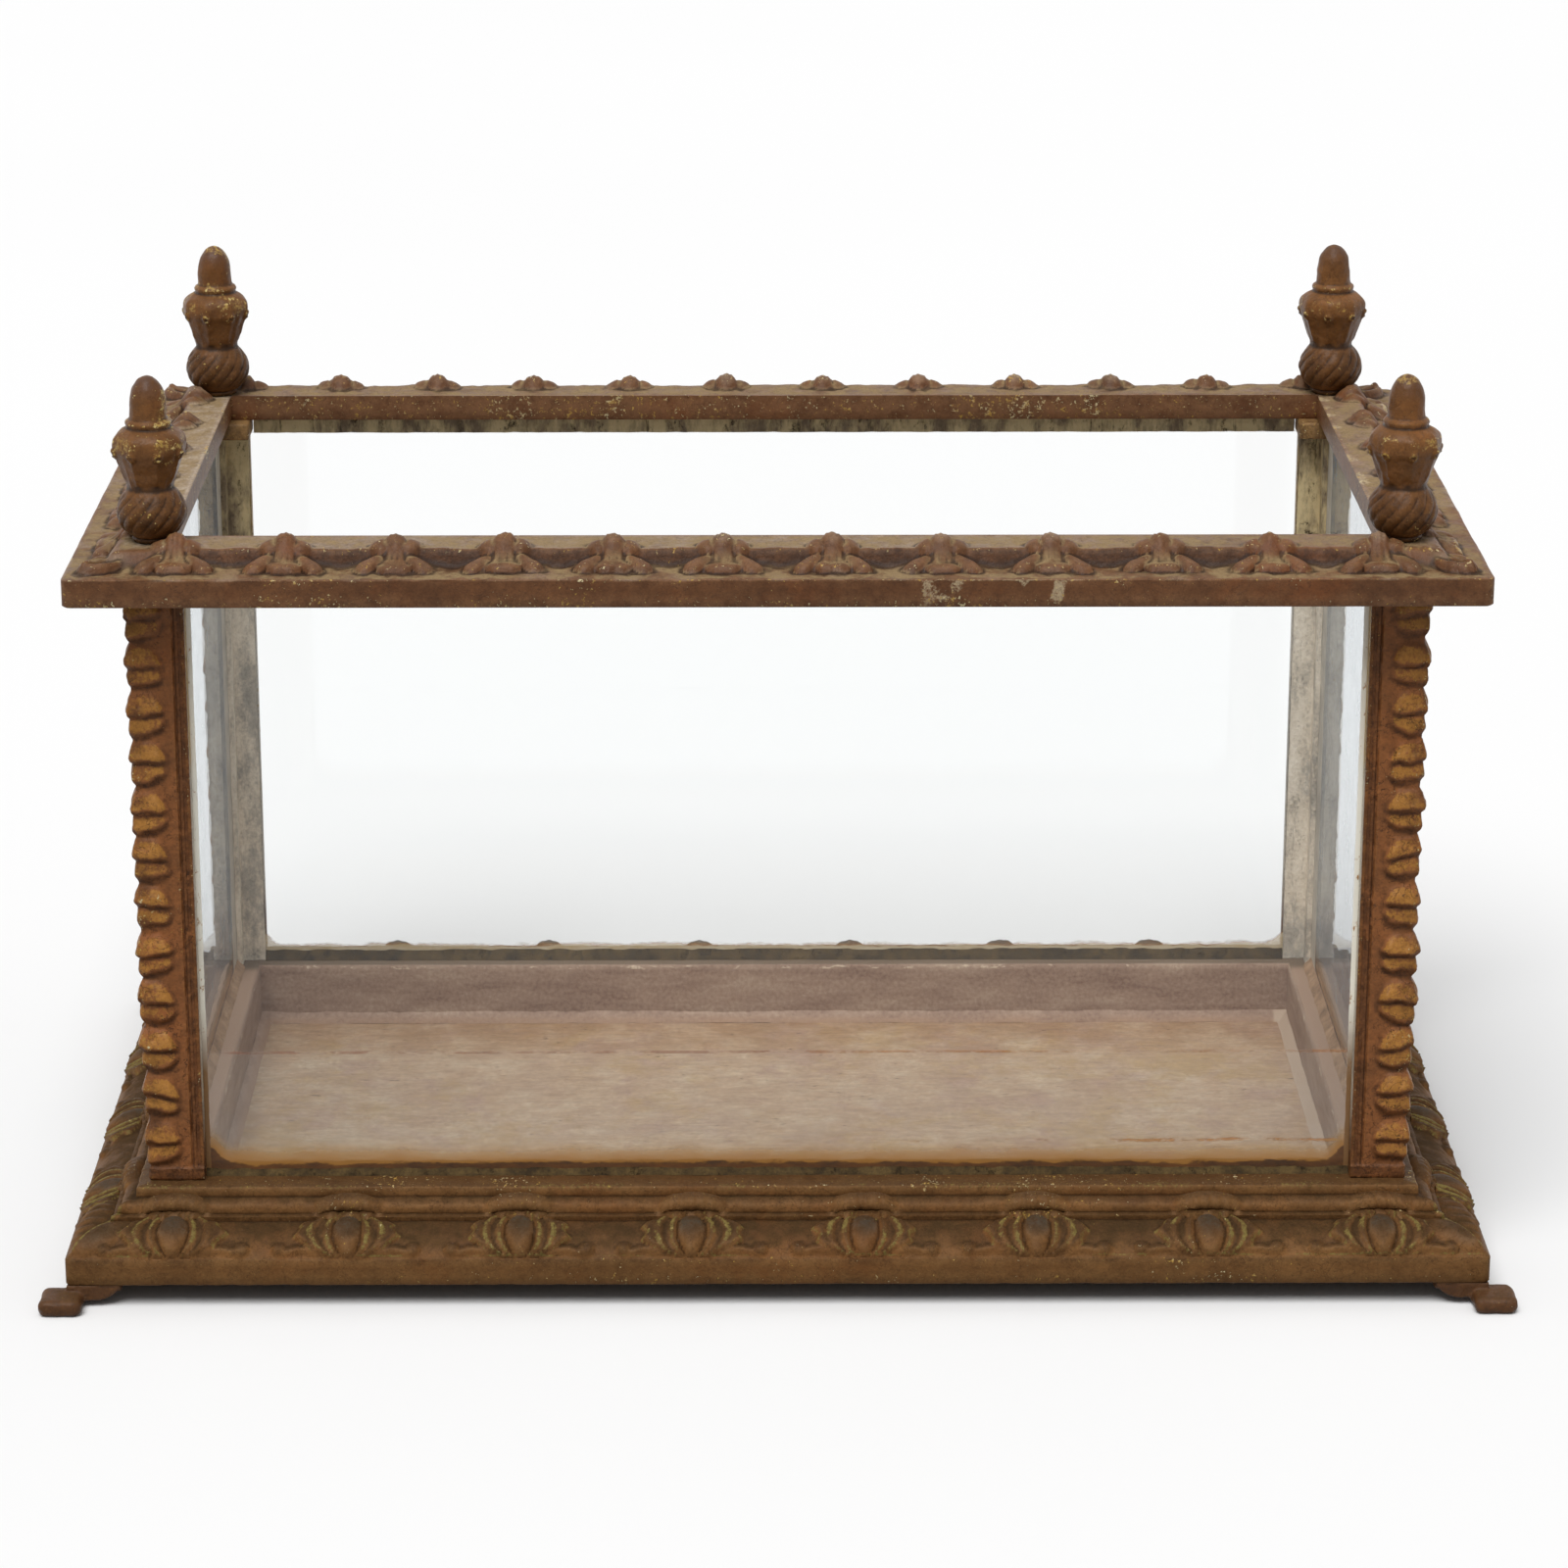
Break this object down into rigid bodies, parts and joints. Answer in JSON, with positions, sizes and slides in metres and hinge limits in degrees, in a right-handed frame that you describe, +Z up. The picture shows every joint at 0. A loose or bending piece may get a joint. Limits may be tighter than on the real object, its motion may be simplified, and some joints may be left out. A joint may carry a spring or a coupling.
{
  "type": "fish tank",
  "caption": "Table-top fish tank: glass walls in cast-iron corner posts, a moulded plinth on bracket feet, a leafy cast rim and acorn finials that screw down at the corners.",
  "frame": {"origin": "centre of the footprint, on the plane of the foot soles", "axes": "+X along the tank to the right as seen from the front, +Y to the back, +Z up"},
  "size_m": [0.653, 0.398, 0.4105],
  "materials": {
    "plinth_iron": "old brown paint over rough casting, satin",
    "rim_iron": "old brown paint over rough casting, satin",
    "post_iron": "orange-brown bronze paint over rough casting, satin",
    "foot_iron": "old brown paint over rough casting, satin",
    "finial_iron": "old brown paint with ochre highlights, satin",
    "floor_metal": "tan, stained and chalky, matte",
    "pane_glass": "old clear sheet glass, hazy towards the bottom",
    "putty": "dry linseed putty, grey to tan, matte",
    "screw_steel": "plain steel, dull"
  },
  "bodies": {
    "tank": {"base_plinth": "plinth_iron", "top_rim": "rim_iron", "floor_plate": "floor_metal", "floor_putty": "putty", "foot_screws": "screw_steel", "post_screws": "screw_steel", "post_washers": "screw_steel", "glass_front": "pane_glass", "putty_bed_front": "putty", "putty_top_front": "putty", "glass_back": "pane_glass", "putty_bed_back": "putty", "putty_top_back": "putty", "glass_left": "pane_glass", "putty_bed_left": "putty", "putty_top_left": "putty", "glass_right": "pane_glass", "putty_bed_right": "putty", "putty_top_right": "putty", "foot_back_right": "foot_iron", "post_back_right": "post_iron", "putty_corner_back_right": "putty", "foot_back_left": "foot_iron", "post_back_left": "post_iron", "putty_corner_back_left": "putty", "foot_front_right": "foot_iron", "post_front_right": "post_iron", "putty_corner_front_right": "putty", "foot_front_left": "foot_iron", "post_front_left": "post_iron", "putty_corner_front_left": "putty"},
    "stud_back_right": {"finial_stud_back_right": "screw_steel"},
    "finial_back_right": {"finial_back_right": "finial_iron"},
    "stud_back_left": {"finial_stud_back_left": "screw_steel"},
    "finial_back_left": {"finial_back_left": "finial_iron"},
    "stud_front_right": {"finial_stud_front_right": "screw_steel"},
    "finial_front_right": {"finial_front_right": "finial_iron"},
    "stud_front_left": {"finial_stud_front_left": "screw_steel"},
    "finial_front_left": {"finial_front_left": "finial_iron"}
  },
  "joints": [
    {"name": "finial_back_right_lift", "type": "slide", "parent": "tank", "child": "stud_back_right", "axis": [0, 0, 1], "range_m": [0, 0.0125]},
    {"name": "finial_back_right_turn", "type": "hinge", "parent": "stud_back_right", "child": "finial_back_right", "pos_m": [0.2695, 0.1365, 0.338], "axis": [0, 0, 1], "range_deg": [0, 3600]},
    {"name": "finial_back_left_lift", "type": "slide", "parent": "tank", "child": "stud_back_left", "axis": [0, 0, 1], "range_m": [0, 0.0125]},
    {"name": "finial_back_left_turn", "type": "hinge", "parent": "stud_back_left", "child": "finial_back_left", "pos_m": [-0.2695, 0.1365, 0.338], "axis": [0, 0, 1], "range_deg": [0, 3600]},
    {"name": "finial_front_right_lift", "type": "slide", "parent": "tank", "child": "stud_front_right", "axis": [0, 0, 1], "range_m": [0, 0.0125]},
    {"name": "finial_front_right_turn", "type": "hinge", "parent": "stud_front_right", "child": "finial_front_right", "pos_m": [0.2695, -0.1365, 0.338], "axis": [0, 0, 1], "range_deg": [0, 3600]},
    {"name": "finial_front_left_lift", "type": "slide", "parent": "tank", "child": "stud_front_left", "axis": [0, 0, 1], "range_m": [0, 0.0125]},
    {"name": "finial_front_left_turn", "type": "hinge", "parent": "stud_front_left", "child": "finial_front_left", "pos_m": [-0.2695, -0.1365, 0.338], "axis": [0, 0, 1], "range_deg": [0, 3600]}
  ],
  "couplings": [
    {"joint": "finial_back_right_turn", "follows": "finial_back_right_lift", "rad_per_m": 5026.5},
    {"joint": "finial_back_left_turn", "follows": "finial_back_left_lift", "rad_per_m": 5026.5},
    {"joint": "finial_front_right_turn", "follows": "finial_front_right_lift", "rad_per_m": 5026.5},
    {"joint": "finial_front_left_turn", "follows": "finial_front_left_lift", "rad_per_m": 5026.5}
  ]
}
